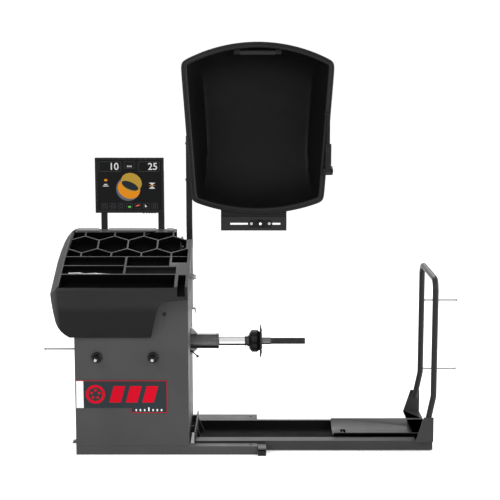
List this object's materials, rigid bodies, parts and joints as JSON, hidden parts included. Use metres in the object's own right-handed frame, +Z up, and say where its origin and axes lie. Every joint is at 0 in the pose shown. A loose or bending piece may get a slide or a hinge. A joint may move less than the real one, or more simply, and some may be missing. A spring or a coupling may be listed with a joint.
{
  "type": "truck wheel balancer",
  "caption": "Floor-standing wheel balancer: sheet steel cabinet with spindle, weight tray hood, monitor, swinging guard and a wheel lift with sliding trolley.",
  "frame": {"origin": "on the floor, under the spindle axis, half way across the cabinet's width", "axes": "+X along the spindle away from the cabinet, +Y to the back, +Z up"},
  "size_m": [2.261, 0.946, 2.1499],
  "materials": {
    "grey_paint": "textured powder coat",
    "dark_paint": "textured powder coat",
    "hood_plastic": "grained moulding",
    "guard_plastic": "grained moulding",
    "black_plastic": "fine grain",
    "black_paint": "satin",
    "rocker_red": "gloss",
    "zinc": "zinc plated",
    "ground_steel": "ground",
    "chrome": "polished",
    "screen": "anti-glare",
    "badge_paint": "satin print",
    "motor_paint": "satin",
    "rubber": "ribbed",
    "encoder_alloy": "etched"
  },
  "bodies": {
    "machine": {"base_frame": "grey_paint", "cabinet_shell": "grey_paint", "rear_panel": "grey_paint", "panel_screws": "zinc", "tray_hood": "hood_plastic", "cone_hanger_bases": "black_plastic", "cone_hanger_rods": "zinc", "side_hangers": "zinc", "badge_plate": "badge_paint", "wall_plug": "zinc", "monitor_posts": "black_paint", "monitor_housing": "black_plastic", "monitor_screen": "screen", "spindle_housing": "dark_paint", "spindle_collar": "zinc", "spindle_bearings": "ground_steel", "spindle_stand": "grey_paint", "force_sensors": "zinc", "motor": "motor_paint", "drive_belt": "rubber", "control_box": "zinc", "power_inlet": "black_plastic", "gauge_guide": "zinc", "guard_pivot_brackets": "dark_paint", "lift_columns": "ground_steel", "lift_cylinder": "motor_paint", "pedal_box": "grey_paint"},
    "spindle": {"spindle_shaft": "ground_steel", "spindle_spacer": "chrome", "flange_hub": "black_paint", "flange_disc": "black_paint", "spindle_pulley": "ground_steel", "encoder_disc": "encoder_alloy"},
    "motor_rotor": {"motor_pulley": "ground_steel"},
    "brake": {"lock_lever": "black_plastic"},
    "rocker": {"power_rocker": "rocker_red"},
    "gauge_slide": {"gauge_rod": "ground_steel"},
    "gauge_swing": {"gauge_arm": "zinc"},
    "guard": {"guard_arm": "black_paint", "guard_shell": "guard_plastic", "guard_handle": "guard_plastic", "guard_bolts": "zinc", "laser_bracket": "zinc", "laser_unit": "black_plastic", "width_gauge_bracket": "black_plastic"},
    "width_gauge": {"width_gauge_arm": "black_plastic"},
    "lift": {"lift_piston_rod": "ground_steel", "lift_carriage": "dark_paint", "lift_frame": "dark_paint"},
    "trolley": {"trolley": "dark_paint", "hoop_rail": "black_paint", "hoop_hangers": "zinc"},
    "roller_left": {"trolley_roller_left": "ground_steel"},
    "roller_right": {"trolley_roller_right": "ground_steel"},
    "pedal": {"foot_pedal": "rubber"},
    "button_1": {"monitor_button_1": "black_plastic"},
    "button_2": {"monitor_button_2": "black_plastic"},
    "button_3": {"monitor_button_3": "black_plastic"},
    "button_4": {"monitor_button_4": "black_plastic"},
    "button_5": {"monitor_button_5": "black_plastic"}
  },
  "joints": [
    {"name": "spindle_turn", "type": "hinge", "parent": "machine", "child": "spindle", "pos_m": [0, 0, 0.545], "axis": [1, 0, 0], "continuous": true},
    {"name": "motor_turn", "type": "hinge", "parent": "machine", "child": "motor_rotor", "pos_m": [-0.066, 0, 0.3], "axis": [1, 0, 0], "continuous": true},
    {"name": "brake_lever", "type": "hinge", "parent": "machine", "child": "brake", "pos_m": [0.296, -0.07, 0.502], "axis": [1, 0, 0], "range_deg": [-35, 35]},
    {"name": "power_switch", "type": "hinge", "parent": "machine", "child": "rocker", "pos_m": [-0.156, 0.198, 0.133], "axis": [1, 0, 0], "range_deg": [0, 16]},
    {"name": "gauge_pull", "type": "slide", "parent": "machine", "child": "gauge_slide", "axis": [1, 0, 0], "range_m": [0, 0.3]},
    {"name": "gauge_arm_swing", "type": "hinge", "parent": "gauge_slide", "child": "gauge_swing", "pos_m": [0.312, -0.1, 0.914], "axis": [1, 0, 0], "range_deg": [-110, 110]},
    {"name": "guard_swing", "type": "hinge", "parent": "machine", "child": "guard", "pos_m": [0.279, 0.3, 1.04], "axis": [1, 0, 0], "range_deg": [0, 60]},
    {"name": "width_gauge_swing", "type": "hinge", "parent": "guard", "child": "width_gauge", "pos_m": [1.044, 0.205, 1.45], "axis": [1, 0, 0], "range_deg": [0, 100]},
    {"name": "lift_raise", "type": "slide", "parent": "machine", "child": "lift", "axis": [0, 0, 1], "range_m": [0, 0.3]},
    {"name": "trolley_slide", "type": "slide", "parent": "lift", "child": "trolley", "axis": [-1, 0, 0], "range_m": [0, 0.42]},
    {"name": "roller_left_turn", "type": "hinge", "parent": "trolley", "child": "roller_left", "pos_m": [1.126, 0, 0.0183], "axis": [0, 1, 0], "continuous": true},
    {"name": "roller_right_turn", "type": "hinge", "parent": "trolley", "child": "roller_right", "pos_m": [1.523, 0, 0.0183], "axis": [0, 1, 0], "continuous": true},
    {"name": "pedal_rock", "type": "hinge", "parent": "machine", "child": "pedal", "pos_m": [0.679, -0.2815, 0.02], "axis": [1, 0, 0], "range_deg": [-5, 5], "stiffness_Nm_per_rad": 6},
    {"name": "button_1_press", "type": "slide", "parent": "machine", "child": "button_1", "axis": [0, 0, 1], "range_m": [0, 0.0015], "stiffness_N_per_m": 150, "springref_m": -0.0005},
    {"name": "button_2_press", "type": "slide", "parent": "machine", "child": "button_2", "axis": [0, 0, 1], "range_m": [0, 0.0015], "stiffness_N_per_m": 150, "springref_m": -0.0005},
    {"name": "button_3_press", "type": "slide", "parent": "machine", "child": "button_3", "axis": [0, 0, 1], "range_m": [0, 0.0015], "stiffness_N_per_m": 150, "springref_m": -0.0005},
    {"name": "button_4_press", "type": "slide", "parent": "machine", "child": "button_4", "axis": [0, 0, 1], "range_m": [0, 0.0015], "stiffness_N_per_m": 150, "springref_m": -0.0005},
    {"name": "button_5_press", "type": "slide", "parent": "machine", "child": "button_5", "axis": [0, 0, 1], "range_m": [0, 0.0015], "stiffness_N_per_m": 150, "springref_m": -0.0005}
  ],
  "couplings": [
    {"joint": "motor_turn", "follows": "spindle_turn", "ratio": 3.2},
    {"joint": "roller_left_turn", "follows": "trolley_slide", "rad_per_m": -111.11},
    {"joint": "roller_right_turn", "follows": "trolley_slide", "rad_per_m": -111.11}
  ]
}
